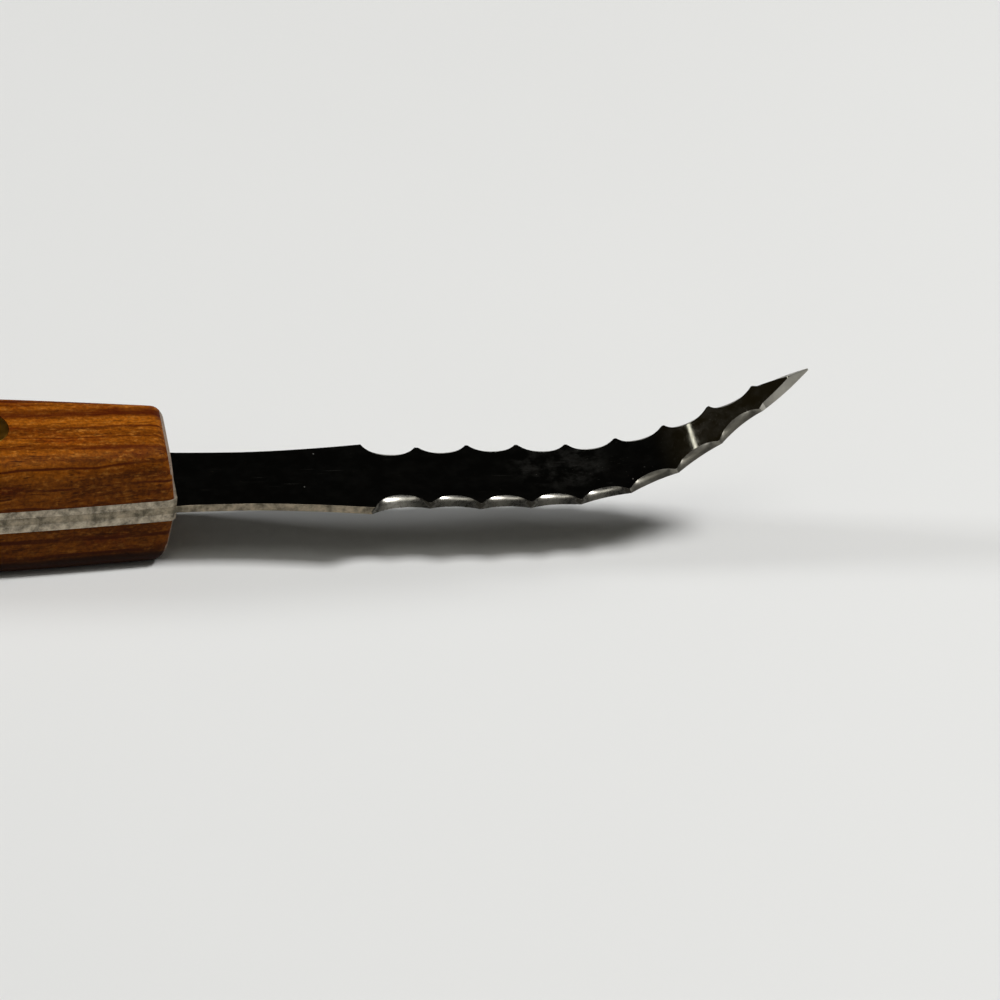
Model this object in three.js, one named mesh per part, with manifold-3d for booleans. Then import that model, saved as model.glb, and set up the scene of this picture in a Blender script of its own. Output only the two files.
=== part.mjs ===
import * as THREE from 'three';
import { mergeVertices } from 'three/addons/utils/BufferGeometryUtils.js';
import Module from 'manifold-3d';

const wasm = await Module();
wasm.setup();

// A grapefruit knife lying on its flat side. Millimetres, +Z up, +X towards the tip.
// While it is built, x = 0 is the front end of the handle and z = 0 the surface it lies on.

// Blade: one stamped steel strip with the tang behind it
const bladeThickness = 1.0;
const bladeTipThickness = 0.6;
const bladeRootWidth = 11.6;
const bladeNeckWidth = 11.3;
const bladeNeckReach = 9;
const bladeShoulderWidth = 13.8;
const bladeShoulderReach = 24.5;
const bladeFlarePower = 1.6;
const bladeFirstToothWidth = 11.9;
const bladeToothedWidth = 12.6;
const bladeEndWidth = 1.3;
const bladeTaperReach = 38.5;
const bladeTaperPower = 2.2;
const bladeLength = 84.3;
const bladeTipWidth = 0.4;
const bladeTipBulge = 0.32;

// The bend near the tip: flat up to the bend, an arc, then straight to the tip
const bendReach = 48.5;
const bendRadius = 31.6;
const bendAngleDegrees = 38.2;

// Scallops ground into both edges from the upper face
const scallopCount = 8;
const firstScallopPitch = 7.4;
const scallopPitch = 6.42;
const grindingWheelRadius = 4.4;
const facetRun = 0.95;
const toothTipBreak = 0.35;
const plainEdgeBreak = 0.08;
const cuttingEdgeThickness = 0.07;

// Handle: a sandwich of two wooden scales and two metal liners round the tang
const handleLength = 102;
const handleThickness = 17.4;
const linerThickness = 1.1;
const handleFrontWidth = 12;
const handleShoulderWidth = 16.4;
const handleShoulderReach = 22.4;
const handleBellyWidth = 18.6;
const handleBellyReach = 45;
const handleWaistWidth = 17.6;
const handleWaistSetback = 30;
const handleButtWidth = 19.2;
const handleButtSetback = 11;
const buttCornerReachShare = 0.7;
const buttCornerWidthShare = 0.76;
const linerCornerCut = 0.5;
const scaleFrontSetback = 0.3;
const scaleFrontSlope = 0.9;
const scaleFrontRounding = 1.9;
const scaleCornerRadius = 1.0;
const scaleEdgeRadius = 2.8;

// Rivets: a stud pressed into a tubular socket, both with flush heads
const rivetCount = 3;
const rivetFirstReach = 24.7;
const rivetLastSetback = 23.7;
const rivetHeadDiameter = 7.9;
const rivetHeadThickness = 1.9;
const rivetTubeDiameter = 4.0;
const rivetStudDiameter = 2.8;
const rivetHeadClearance = 0.04;
const rivetHoleClearance = 0.1;
const rivetPressClearance = 0.02;
const rivetEndClearance = 0.5;
const rivetBoreFloor = 1.1;

// Fineness of curves, and what cuts and joins need
const scallopSteps = 12;
const plainSteps = 9;
const tipSteps = 7;
const outlineSteps = 7;
const roundingSteps = 4;
const circleSteps = 32;
const cutOverrun = 4;
const joinOverlap = 2;
const mergeTolerance = 0.0001;

// Heights of the layers
const bladeMiddle = handleThickness / 2;
const tangTop = bladeMiddle + bladeThickness / 2;
const tangBottom = bladeMiddle - bladeThickness / 2;
const scaleThickness = tangBottom - linerThickness;

const wood = { color: 0x6e4112, roughness: 0.55, metalness: 0 };
const steel = { color: 0x8b8d8c, roughness: 0.14, metalness: 1 };
const linerMetal = { color: 0xb4b5b0, roughness: 0.5, metalness: 1 };
const brass = { color: 0x8c6a33, roughness: 0.3, metalness: 1 };

// A closed mesh as a solid that can be cut and joined
function solidFrom(geometry) {
  const bare = geometry.clone();
  bare.deleteAttribute('normal');
  bare.deleteAttribute('uv');
  const merged = mergeVertices(bare, mergeTolerance);
  return new wasm.Manifold(new wasm.Mesh({
    numProp: 3,
    vertProperties: merged.attributes.position.array,
    triVerts: new Uint32Array(merged.index.array),
  }));
}

// The solid back as a three.js geometry
function geometryFrom(solid) {
  const mesh = solid.getMesh();
  const geometry = new THREE.BufferGeometry();
  geometry.setAttribute('position', new THREE.BufferAttribute(mesh.vertProperties, mesh.numProp));
  geometry.setIndex(new THREE.BufferAttribute(mesh.triVerts, 1));
  geometry.computeVertexNormals();
  return geometry;
}

function namedMesh(name, geometry, look) {
  const mesh = new THREE.Mesh(geometry, new THREE.MeshStandardMaterial(look));
  mesh.name = name;
  return mesh;
}

// An upright cylinder that stands on z = 0
function uprightCylinder(diameter, height) {
  const geometry = new THREE.CylinderGeometry(diameter / 2, diameter / 2, height, circleSteps);
  geometry.rotateX(Math.PI / 2);
  geometry.translate(0, 0, height / 2);
  return geometry;
}

// Rings of points, one per station, joined into a closed skin
function loft(rings) {
  const corners = rings[0].length;
  const positions = [];
  const triangles = [];
  for (const ring of rings) {
    for (const point of ring) {
      positions.push(point.x, point.y, point.z);
    }
  }
  for (let station = 0; station + 1 < rings.length; station += 1) {
    for (let corner = 0; corner < corners; corner += 1) {
      const next = (corner + 1) % corners;
      const here = station * corners;
      const ahead = here + corners;
      triangles.push(here + corner, ahead + corner, here + next);
      triangles.push(here + next, ahead + corner, ahead + next);
    }
  }
  const last = (rings.length - 1) * corners;
  for (let corner = 1; corner + 1 < corners; corner += 1) {
    triangles.push(0, corner, corner + 1);
    triangles.push(last, last + corner + 1, last + corner);
  }
  const geometry = new THREE.BufferGeometry();
  geometry.setAttribute('position', new THREE.Float32BufferAttribute(positions, 3));
  geometry.setIndex(triangles);
  return geometry;
}

// Blade edge: the teeth stand at fixed steps along the developed length
const toothReaches = [bladeShoulderReach];
for (let tooth = 0; tooth < scallopCount; tooth += 1) {
  toothReaches.push(bladeShoulderReach + firstScallopPitch + tooth * scallopPitch);
}

function toothHalfWidth(tooth) {
  if (tooth === 0) {
    return bladeShoulderWidth / 2;
  }
  if (tooth === 1) {
    return bladeFirstToothWidth / 2;
  }
  const along = (toothReaches[tooth] - bladeTaperReach) / (bladeLength - bladeTaperReach);
  const narrowed = Math.max(along, 0) ** bladeTaperPower;
  return THREE.MathUtils.lerp(bladeToothedWidth, bladeEndWidth, narrowed) / 2;
}

// Half width of the plain part between handle and first tooth
function plainHalfWidth(reach) {
  if (reach < bladeNeckReach) {
    const back = (bladeNeckReach - Math.max(reach, 0)) / bladeNeckReach;
    return (bladeNeckWidth + (bladeRootWidth - bladeNeckWidth) * back ** 2) / 2;
  }
  const along = (reach - bladeNeckReach) / (bladeShoulderReach - bladeNeckReach);
  return (bladeNeckWidth + (bladeShoulderWidth - bladeNeckWidth) * along ** bladeFlarePower) / 2;
}

// Where the round wheel leaves the upper face between two teeth
function rimHalfWidth(scallop, reach) {
  const start = new THREE.Vector2(toothReaches[scallop], toothHalfWidth(scallop));
  const end = new THREE.Vector2(toothReaches[scallop + 1], toothHalfWidth(scallop + 1));
  const chord = end.clone().sub(start);
  const halfChord = chord.length() / 2;
  const standOff = Math.sqrt(Math.max(grindingWheelRadius ** 2 - halfChord ** 2, 0));
  const outward = new THREE.Vector2(-chord.y, chord.x).normalize();
  const centre = start.clone().add(end).divideScalar(2).addScaledVector(outward, standOff);
  const across = Math.max(grindingWheelRadius ** 2 - (reach - centre.x) ** 2, 0);
  return centre.y - Math.sqrt(across);
}

// A point of the straight blank carried round the bend
function bent(reach, side, height) {
  const bendAngle = THREE.MathUtils.degToRad(bendAngleDegrees);
  const along = reach - bendReach;
  if (along <= 0) {
    return new THREE.Vector3(reach, side, bladeMiddle + height);
  }
  const turned = Math.min(along / bendRadius, bendAngle);
  const beyond = Math.max(along - bendRadius * bendAngle, 0);
  const radius = bendRadius - height;
  return new THREE.Vector3(
    bendReach + radius * Math.sin(turned) + beyond * Math.cos(turned),
    side,
    bladeMiddle + bendRadius - radius * Math.cos(turned) + beyond * Math.sin(turned),
  );
}

// The steel thins from the taper's start to the tip, at its lower face
function bladeThicknessAt(reach) {
  const along = (reach - bladeTaperReach) / (bladeLength - bladeTaperReach);
  return THREE.MathUtils.lerp(bladeThickness, bladeTipThickness, Math.max(along, 0));
}

// One cross-section: upper face, ground facets, side lands and lower face.
// Near the tip the two facets meet in a ridge that sinks below the upper face.
function bladeSection(reach, lineHalf, rimHalf) {
  const ridgeHalf = bladeTipWidth / 4;
  const top = bladeThickness / 2;
  const bottom = top - bladeThicknessAt(reach);
  const edgeTop = bottom + cuttingEdgeThickness;
  const facetSlope = (top - edgeTop) / facetRun;
  const upperHalf = Math.max(rimHalf, ridgeHalf);
  const upperHeight = top - Math.max(ridgeHalf - rimHalf, 0) * facetSlope;
  const lowerHalf = Math.min(lineHalf, upperHalf + facetRun);
  const breakHeight = Math.max(upperHeight - (lowerHalf - upperHalf) * facetSlope, edgeTop);
  const profile = [
    [upperHalf, upperHeight], [lowerHalf, breakHeight], [lowerHalf, bottom],
    [-lowerHalf, bottom], [-lowerHalf, breakHeight], [-upperHalf, upperHeight],
  ];
  return profile.map(([side, height]) => bent(reach, side, height));
}

function bladeRings() {
  const rings = [bladeSection(-joinOverlap, plainHalfWidth(0), plainHalfWidth(0) - plainEdgeBreak)];
  for (let step = 0; step <= plainSteps; step += 1) {
    const reach = bladeShoulderReach * step / plainSteps;
    rings.push(bladeSection(reach, plainHalfWidth(reach), plainHalfWidth(reach) - plainEdgeBreak));
  }
  for (let scallop = 0; scallop < scallopCount; scallop += 1) {
    for (let step = 1; step <= scallopSteps; step += 1) {
      const share = step / scallopSteps;
      const reach = THREE.MathUtils.lerp(toothReaches[scallop], toothReaches[scallop + 1], share);
      const line = THREE.MathUtils.lerp(toothHalfWidth(scallop), toothHalfWidth(scallop + 1), share);
      const rim = Math.min(rimHalfWidth(scallop, reach), line - toothTipBreak);
      rings.push(bladeSection(reach, line, rim));
    }
  }
  const lastReach = toothReaches[scallopCount];
  for (let step = 1; step <= tipSteps; step += 1) {
    const share = step / tipSteps;
    const reach = THREE.MathUtils.lerp(lastReach, bladeLength, share);
    const straight = THREE.MathUtils.lerp(toothHalfWidth(scallopCount), bladeTipWidth / 2, share);
    const line = straight + bladeTipBulge * Math.sin(Math.PI * share);
    rings.push(bladeSection(reach, line, line - facetRun));
  }
  return rings;
}

// The handle's outline from the front corner round the butt to the other front corner
function handleOutline() {
  const buttReach = handleLength - handleButtSetback;
  const cornerReach = THREE.MathUtils.lerp(buttReach, handleLength, buttCornerReachShare);
  const oneSide = [
    [0, handleFrontWidth],
    [handleShoulderReach, handleShoulderWidth],
    [handleBellyReach, handleBellyWidth],
    [handleLength - handleWaistSetback, handleWaistWidth],
    [buttReach, handleButtWidth],
    [cornerReach, handleButtWidth * buttCornerWidthShare],
  ];
  const left = oneSide.map(([reach, width]) => new THREE.Vector2(-reach, width / 2));
  const right = left.map((point) => new THREE.Vector2(point.x, -point.y)).reverse();
  const curve = new THREE.SplineCurve([...left, new THREE.Vector2(-handleLength, 0), ...right]);
  return curve.getPoints(outlineSteps * (curve.points.length - 1));
}

// The outline with its front corners cut, for the metal layers
function metalOutline() {
  const points = handleOutline();
  const first = points.shift();
  const last = points.pop();
  return [
    new THREE.Vector2(0, first.y - linerCornerCut),
    new THREE.Vector2(-linerCornerCut, first.y),
    ...points,
    new THREE.Vector2(-linerCornerCut, last.y),
    new THREE.Vector2(0, last.y + linerCornerCut),
  ];
}

// Half width of the handle at its front, run on straight past the end
function frontHalfWidth(reachOn) {
  const points = handleOutline();
  const narrowing = (points[1].y - points[0].y) / (points[0].x - points[1].x);
  return points[0].y - narrowing * reachOn;
}

// The outline run on past the front end, for the scales before their front is cut
function longOutline() {
  const reachOn = scaleEdgeRadius + cutOverrun;
  const half = frontHalfWidth(reachOn);
  return [new THREE.Vector2(reachOn, half), ...handleOutline(), new THREE.Vector2(reachOn, -half)];
}

// The rivets are spread evenly between the first and the last
const rivetReaches = [];
for (let rivet = 0; rivet < rivetCount; rivet += 1) {
  const lastReach = handleLength - rivetLastSetback;
  rivetReaches.push(THREE.MathUtils.lerp(rivetFirstReach, lastReach, rivet / (rivetCount - 1)));
}

// A flat plate of the handle's outline with the rivet holes, standing on z = 0
function drilledPlate(thickness) {
  const shape = new THREE.Shape(metalOutline());
  const holeRadius = rivetTubeDiameter / 2 + rivetHoleClearance;
  for (const reach of rivetReaches) {
    const hole = new THREE.Path();
    hole.absarc(-reach, 0, holeRadius, 0, 2 * Math.PI, true);
    shape.holes.push(hole);
  }
  const settings = { depth: thickness, bevelEnabled: false, curveSegments: circleSteps };
  return new THREE.ExtrudeGeometry(shape, settings);
}

// The blade and its tang are one piece of steel
function makeBlade() {
  const tang = drilledPlate(bladeThickness);
  tang.translate(0, 0, tangBottom);
  const solid = solidFrom(tang).add(solidFrom(loft(bladeRings())));
  return namedMesh('blade', geometryFrom(solid), steel);
}

function makeLiner(name, height) {
  const mesh = namedMesh(name, drilledPlate(linerThickness), linerMetal);
  mesh.position.z = height;
  return mesh;
}

// Side view of a scale: the front leans back and is rounded over at the outer face
function scaleSideProfile() {
  const shape = new THREE.Shape();
  const back = -handleLength - cutOverrun;
  const foot = -scaleFrontSetback;
  const slopeTop = foot - scaleFrontSlope;
  const roundingBase = scaleThickness - scaleFrontRounding;
  shape.moveTo(back, 0);
  shape.lineTo(foot, 0);
  shape.lineTo(slopeTop, roundingBase);
  shape.quadraticCurveTo(slopeTop, scaleThickness, slopeTop - scaleFrontRounding, scaleThickness);
  shape.lineTo(back, scaleThickness);
  shape.closePath();
  return shape;
}

// Plan of the room in front of which a scale is cut away: rounded front corners, wide behind them
function scaleFrontPlan() {
  const shape = new THREE.Shape();
  const back = -handleLength - cutOverrun;
  const wide = handleButtWidth / 2 + cutOverrun;
  const front = -scaleFrontSetback;
  const turn = front - scaleCornerRadius;
  const corner = frontHalfWidth(front);
  const side = frontHalfWidth(turn);
  shape.moveTo(back, -wide);
  shape.lineTo(turn, -wide);
  shape.lineTo(turn, -side);
  shape.quadraticCurveTo(front, -corner, front, scaleCornerRadius - corner);
  shape.lineTo(front, corner - scaleCornerRadius);
  shape.quadraticCurveTo(front, corner, turn, side);
  shape.lineTo(turn, wide);
  shape.lineTo(back, wide);
  shape.closePath();
  return shape;
}

// One wooden scale, inner face on z = 0 and outer face up
function scaleSolid() {
  const body = new THREE.ExtrudeGeometry(new THREE.Shape(longOutline()), {
    depth: scaleThickness - scaleEdgeRadius,
    bevelThickness: scaleEdgeRadius,
    bevelSize: scaleEdgeRadius,
    bevelOffset: -scaleEdgeRadius,
    bevelSegments: roundingSteps,
  });
  const blockWidth = handleButtWidth + 2 * cutOverrun;
  const block = new THREE.ExtrudeGeometry(scaleSideProfile(), {
    depth: blockWidth,
    bevelEnabled: false,
    curveSegments: roundingSteps,
  });
  block.rotateX(Math.PI / 2);
  block.translate(0, blockWidth / 2, 0);
  const corners = new THREE.ExtrudeGeometry(scaleFrontPlan(), {
    depth: scaleThickness + 2 * cutOverrun,
    bevelEnabled: false,
    curveSegments: roundingSteps,
  });
  corners.translate(0, 0, -cutOverrun);
  let solid = solidFrom(body).intersect(solidFrom(block)).intersect(solidFrom(corners));
  for (const reach of rivetReaches) {
    const boreDiameter = rivetTubeDiameter + 2 * rivetHoleClearance;
    const bore = uprightCylinder(boreDiameter, scaleThickness + 2 * cutOverrun);
    bore.translate(-reach, 0, -cutOverrun);
    const seatDiameter = rivetHeadDiameter + 2 * rivetHeadClearance;
    const seat = uprightCylinder(seatDiameter, rivetHeadThickness + cutOverrun);
    seat.translate(-reach, 0, scaleThickness - rivetHeadThickness);
    solid = solid.subtract(solidFrom(bore)).subtract(solidFrom(seat));
  }
  return solid;
}

function makeScales() {
  const upper = namedMesh('upper_scale', geometryFrom(scaleSolid()), wood);
  upper.position.z = tangTop + linerThickness;
  const lower = namedMesh('lower_scale', geometryFrom(scaleSolid()), wood);
  lower.rotation.x = Math.PI;
  lower.position.z = scaleThickness;
  return [upper, lower];
}

// Rivet halves turned on a lathe: profiles from the axis out and back to the axis
function turned(points) {
  const profile = points.map(([radius, height]) => new THREE.Vector2(radius, height));
  const geometry = new THREE.LatheGeometry(profile, circleSteps);
  geometry.rotateX(Math.PI / 2);
  return geometry;
}

// The socket: head down on z = 0, tube up towards the stud's head
function socketGeometry() {
  const seatToSeat = handleThickness - 2 * rivetHeadThickness;
  const tubeTop = rivetHeadThickness + seatToSeat - rivetEndClearance;
  const boreRadius = rivetStudDiameter / 2 + rivetPressClearance;
  return turned([
    [0, 0],
    [rivetHeadDiameter / 2, 0],
    [rivetHeadDiameter / 2, rivetHeadThickness],
    [rivetTubeDiameter / 2, rivetHeadThickness],
    [rivetTubeDiameter / 2, tubeTop],
    [boreRadius, tubeTop],
    [boreRadius, rivetHeadThickness + rivetBoreFloor],
    [0, rivetHeadThickness + rivetBoreFloor],
  ]);
}

// The stud: head up, shank down into the socket
function studGeometry() {
  const shankEnd = rivetHeadThickness + rivetBoreFloor + rivetEndClearance;
  const seat = handleThickness - rivetHeadThickness;
  return turned([
    [0, shankEnd],
    [rivetStudDiameter / 2, shankEnd],
    [rivetStudDiameter / 2, seat],
    [rivetHeadDiameter / 2, seat],
    [rivetHeadDiameter / 2, handleThickness],
    [0, handleThickness],
  ]);
}

function makeRivets() {
  const pieces = [];
  rivetReaches.forEach((reach, index) => {
    const socket = namedMesh(`rivet_${index + 1}_socket`, socketGeometry(), brass);
    const stud = namedMesh(`rivet_${index + 1}_stud`, studGeometry(), brass);
    socket.position.x = -reach;
    stud.position.x = -reach;
    pieces.push(socket, stud);
  });
  return pieces;
}

const knife = new THREE.Group();
knife.add(makeBlade());
knife.add(makeLiner('upper_liner', tangTop));
knife.add(makeLiner('lower_liner', tangBottom - linerThickness));
knife.add(...makeScales());
knife.add(...makeRivets());

// The origin is on the surface, under the middle of the knife's box
const box = new THREE.Box3().setFromObject(knife);
knife.position.x = -(box.min.x + box.max.x) / 2;

export default knife;
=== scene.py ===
# %% [markdown]
# # A grapefruit knife on a pale table
#
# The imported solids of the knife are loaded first. They fix where every piece goes:
# one unit is a metre, +X runs towards the tip, +Z is up and z = 0 is the table.
# Each piece modelled below takes the place of one of these solids.

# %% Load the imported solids
from math import cos, pi, radians, sin, sqrt

import bmesh
import bpy
from mathutils import Matrix, Vector
from mathutils.geometry import interpolate_bezier


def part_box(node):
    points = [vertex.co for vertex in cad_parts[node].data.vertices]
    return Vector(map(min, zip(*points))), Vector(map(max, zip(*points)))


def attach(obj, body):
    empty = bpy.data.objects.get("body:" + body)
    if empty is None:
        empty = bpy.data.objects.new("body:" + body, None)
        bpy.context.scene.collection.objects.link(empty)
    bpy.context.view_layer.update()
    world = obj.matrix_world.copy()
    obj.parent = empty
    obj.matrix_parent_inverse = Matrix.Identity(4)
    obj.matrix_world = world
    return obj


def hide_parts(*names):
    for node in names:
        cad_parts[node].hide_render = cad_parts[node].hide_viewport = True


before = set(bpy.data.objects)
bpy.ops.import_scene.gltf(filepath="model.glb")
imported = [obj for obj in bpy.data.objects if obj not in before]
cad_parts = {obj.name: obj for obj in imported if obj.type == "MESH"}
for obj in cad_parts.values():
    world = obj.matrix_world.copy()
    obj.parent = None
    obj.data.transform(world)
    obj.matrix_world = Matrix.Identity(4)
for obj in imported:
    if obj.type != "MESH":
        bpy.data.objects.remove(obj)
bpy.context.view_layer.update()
MM = 0.001
handle_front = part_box("upper_liner")[1].x
handle_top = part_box("upper_scale")[1].z


def ahead(reach):
    """The x of a place this many millimetres ahead of the handle, or behind where negative."""
    return handle_front + reach * MM


# %% [markdown]
# ## Camera
#
# The knife is seen from its front left, 35 degrees above the table, through a long lens.
# The camera stands so far away that the handle and the tip keep nearly the same scale.
# Its place is worked out backwards from a point that is easy to find in the picture:
# the spot on the table under the middle of the handle's front end.

# %% Camera
camera_elevation = radians(35.0)
camera_swing = radians(12.95)
camera_roll = radians(6.48)
camera_distance = 703.24 * MM
picture_width = 1000
focal_pixels = 5591.5
front_end_pixel = (167.5, 538.76)

forward = Vector((sin(camera_swing) * cos(camera_elevation),
                  cos(camera_swing) * cos(camera_elevation),
                  -sin(camera_elevation)))
level_right = Vector((cos(camera_swing), -sin(camera_swing), 0))
level_up = level_right.cross(forward)
right = cos(camera_roll) * level_right + sin(camera_roll) * level_up
up = cos(camera_roll) * level_up - sin(camera_roll) * level_right
pixel_size = camera_distance / focal_pixels
across = (front_end_pixel[0] - picture_width / 2) * pixel_size
upward = (picture_width / 2 - front_end_pixel[1]) * pixel_size
target = Vector((handle_front, 0, 0))
camera_place = target - across * right - upward * up - camera_distance * forward

bpy.ops.object.camera_add(location=camera_place)
camera = bpy.context.object
camera.rotation_euler = Matrix((right, up, -forward)).transposed().to_euler()
camera.data.sensor_width = 36
camera.data.lens = focal_pixels / picture_width * camera.data.sensor_width
camera.data.clip_start = 10 * MM
camera.data.clip_end = 100
bpy.context.scene.camera = camera
bpy.context.scene.view_settings.view_transform = "Standard"
print("camera at", tuple(round(c, 4) for c in camera_place), "lens", round(camera.data.lens, 1))

# %% [markdown]
# ## Small helpers for materials
#
# A colour is written as the hex value that a painting program shows. Blender mixes light,
# so each value is turned to linear first. One function adds any node, and takes each input
# as a value or as another node's output. The others add one kind of node and give back its
# output, so that a material reads from top to bottom like a recipe.
#
# A noise's scale is given in cells to the millimetre, so 0.5 means cells 2 mm wide. The
# depth of a bump is in millimetres too.

# %% Helpers for materials
# The colour sockets of a Mix node
MIX_A, MIX_B, MIX_OUT = 6, 7, 2


def linear(hex_colour):
    """Turn a colour such as '#8c6a33' into the linear values that shaders use."""
    channels = [int(hex_colour[i:i + 2], 16) / 255 for i in (1, 3, 5)]
    curved = [c / 12.92 if c <= 0.04045 else ((c + 0.055) / 1.055) ** 2.4 for c in channels]
    return (*curved, 1.0)


def add_node(tree, kind, inputs=None, **settings):
    """Add a node, make its settings, and give each input a value or another node's output."""
    node = tree.nodes.new("ShaderNode" + kind)
    for name, value in settings.items():
        setattr(node, name, value)
    for socket, value in (inputs or {}).items():
        if isinstance(value, bpy.types.NodeSocket):
            tree.links.new(value, node.inputs[socket])
        else:
            node.inputs[socket].default_value = value
    return node


def noise(tree, place, scale, detail, roughness=0.5, output="Fac"):
    """A noise with this many cells to the millimetre."""
    inputs = {"Vector": place, "Scale": scale / MM, "Detail": detail, "Roughness": roughness}
    return add_node(tree, "TexNoise", inputs).outputs[output]


def stretch(tree, place, factors, rotation=(0, 0, 0)):
    """Coordinates that draw a pattern out along each axis with a small factor."""
    inputs = {"Vector": place, "Scale": factors, "Rotation": rotation}
    return add_node(tree, "Mapping", inputs).outputs["Vector"]


def ramp(tree, value, start, full, least=0.0, most=1.0, **settings):
    """A value that goes from least to most while another goes from start to full."""
    inputs = {"Value": value, "From Min": start, "From Max": full, "To Min": least, "To Max": most}
    return add_node(tree, "MapRange", inputs, **settings).outputs["Result"]


def soft_ramp(tree, value, start, full, least=0.0, most=1.0):
    """A ramp that starts and ends gently."""
    return ramp(tree, value, start, full, least, most, interpolation_type="SMOOTHSTEP")


def calculate(tree, operation, *numbers):
    """The result of an operation on numbers, each a value or an output."""
    return add_node(tree, "Math", dict(enumerate(numbers)), operation=operation).outputs["Value"]


def mix(tree, share, below, above, **settings):
    """One colour laid over another by a share. Hex values are turned to linear here."""
    colours = [linear(colour) if isinstance(colour, str) else colour for colour in (below, above)]
    inputs = {"Factor": share, MIX_A: colours[0], MIX_B: colours[1]}
    return add_node(tree, "Mix", inputs, data_type="RGBA", **settings).outputs[MIX_OUT]


def levelness(tree, normal):
    """How level a face lies: 1 where it looks up or down, 0 where it stands upright."""
    return calculate(tree, "ABSOLUTE", add_node(tree, "SeparateXYZ", {"Vector": normal}).outputs["Z"])


def bump(tree, height, strength, depth, over=None):
    """A relief on the surface, which can lie over another relief."""
    inputs = {"Height": height, "Strength": strength, "Distance": depth * MM}
    if over is not None:
        inputs["Normal"] = over
    return add_node(tree, "Bump", inputs).outputs["Normal"]


def new_material(name):
    """An empty node material, its tree and the coordinates of the knife itself."""
    material = bpy.data.materials.new(name)
    material.use_nodes = True
    tree = material.node_tree
    tree.nodes.clear()
    return material, tree, add_node(tree, "TexCoord").outputs["Object"]


def finish_material(material, surface):
    """Plug the surface's colour, gloss and relief into a shader, and that into the output."""
    tree = material.node_tree
    shader = add_node(tree, "BsdfPrincipled", surface)
    add_node(tree, "OutputMaterial", {"Surface": shader.outputs["BSDF"]})
    print(material.name, "has", len(tree.nodes), "nodes")
    return material


# %% [markdown]
# ## Table and light
#
# The table is one large pale sheet. A lamp up on the right gives most of the light and the
# shadow beside the blade. A weaker one low on the left fills, and throws the long faint
# shadow to the right.
#
# Polished steel shows nothing but its surroundings, so the room is painted for the blade.
# It is dark on the far side, which the flat face mirrors, and olive low on the far left,
# which the bent part mirrors. A narrow window draws the bright line across the bend.
# The facets mirror the near side and the ceiling, so these are grey, with two round lights
# overhead. Near the horizon the room is as pale as the table, so that low views have a
# pale background too.

# %% Table
bpy.ops.mesh.primitive_plane_add(size=8, location=(0, 0, 0))
table = bpy.context.object
table.name = "table"

# Painted board: matt, with a very faint mottling about a hand wide
table_material, tree, place = new_material("painted_board")
table_colour = mix(tree, noise(tree, place, 0.014, 3.0), "#e3e3e1", "#e6e6e4")
finish_material(table_material, {"Base Color": table_colour, "Roughness": 0.75,
                                 "Specular IOR Level": 0.25})
table.data.materials.append(table_material)

# %% Lamps
# The lamps face the place this many millimetres ahead of the handle
lit_reach = 40


def add_lamp(name, towards, distance, size, power, colour):
    """A square soft lamp that stands in a direction from the blade and faces it."""
    direction = Vector(towards).normalized()
    aim = Vector((ahead(lit_reach), 0, 0))
    bpy.ops.object.light_add(type="AREA", location=aim + distance * direction)
    lamp = bpy.context.object
    lamp.name = name
    lamp.rotation_euler = direction.to_track_quat("Z", "Y").to_euler()
    lamp.data.size = size
    lamp.data.energy = power
    lamp.data.color = linear(colour)[:3]
    print(name, "at", tuple(round(c, 3) for c in lamp.location))


add_lamp("key_lamp", (0.53, -0.06, 1.0), distance=1.2, size=0.27, power=11.0, colour="#fefeff")
add_lamp("fill_lamp", (-1.0, 0.135, 0.36), distance=1.2, size=0.2, power=6.6, colour="#fbfdff")

# %% Room: the walls
world = bpy.data.worlds.new("room")
bpy.context.scene.world = world
world.use_nodes = True
room = world.node_tree
room.nodes.clear()
outlook = add_node(room, "TexCoord").outputs["Generated"]


def share_towards(axis, start, full):
    """The share by which a direction lies towards an axis: start and full are cosines."""
    along = add_node(room, "VectorMath", {0: outlook, 1: Vector(axis).normalized()},
                     operation="DOT_PRODUCT")
    return soft_ramp(room, along.outputs["Value"], start, full)


# Each patch of the room: where it lies, where it starts, where it is full, and its colour
patches = [
    ((0, -1, 0), 0.0, 0.55, "#2c2b2a"),
    ((0.5, -0.6, 0.62), 0.86, 0.95, "#74736e"),
    ((-0.6, -0.3, 0.8), 0.86, 0.955, "#a3a19b"),
    ((-0.62, 0.3, 0.72), 0.86, 0.95, "#83827e"),
    ((-0.6, 0.75, 0.28), 0.91, 0.985, "#1b170c"),
]
walls = "#060605"
for axis, start, full, colour in patches:
    walls = mix(room, share_towards(axis, start, full), walls, colour)
walls = mix(room, share_towards((0, 0, 1), -0.02, 0.07), "#dededc", walls)
print("room painted with", len(patches), "patches")

# %% Room: the window and the lights overhead
# The window is a thin slice that stands at the angle which the bend mirrors half way up
slice_facing = (0.686, 0.0, 0.728)
slice_edge, slice_core = 0.009, 0.003
window_light = (1.9, 1.9, 1.7, 1.0)
from_slice = add_node(room, "VectorMath", {0: outlook, 1: slice_facing}, operation="DOT_PRODUCT")
slice_side = calculate(room, "ABSOLUTE", from_slice.outputs["Value"])
in_slice = soft_ramp(room, slice_side, slice_edge, slice_core)
window = calculate(room, "MULTIPLY", in_slice, share_towards((0, 1, 0), 0.6, 0.7))
lit_room = mix(room, window, walls, window_light)

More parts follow.
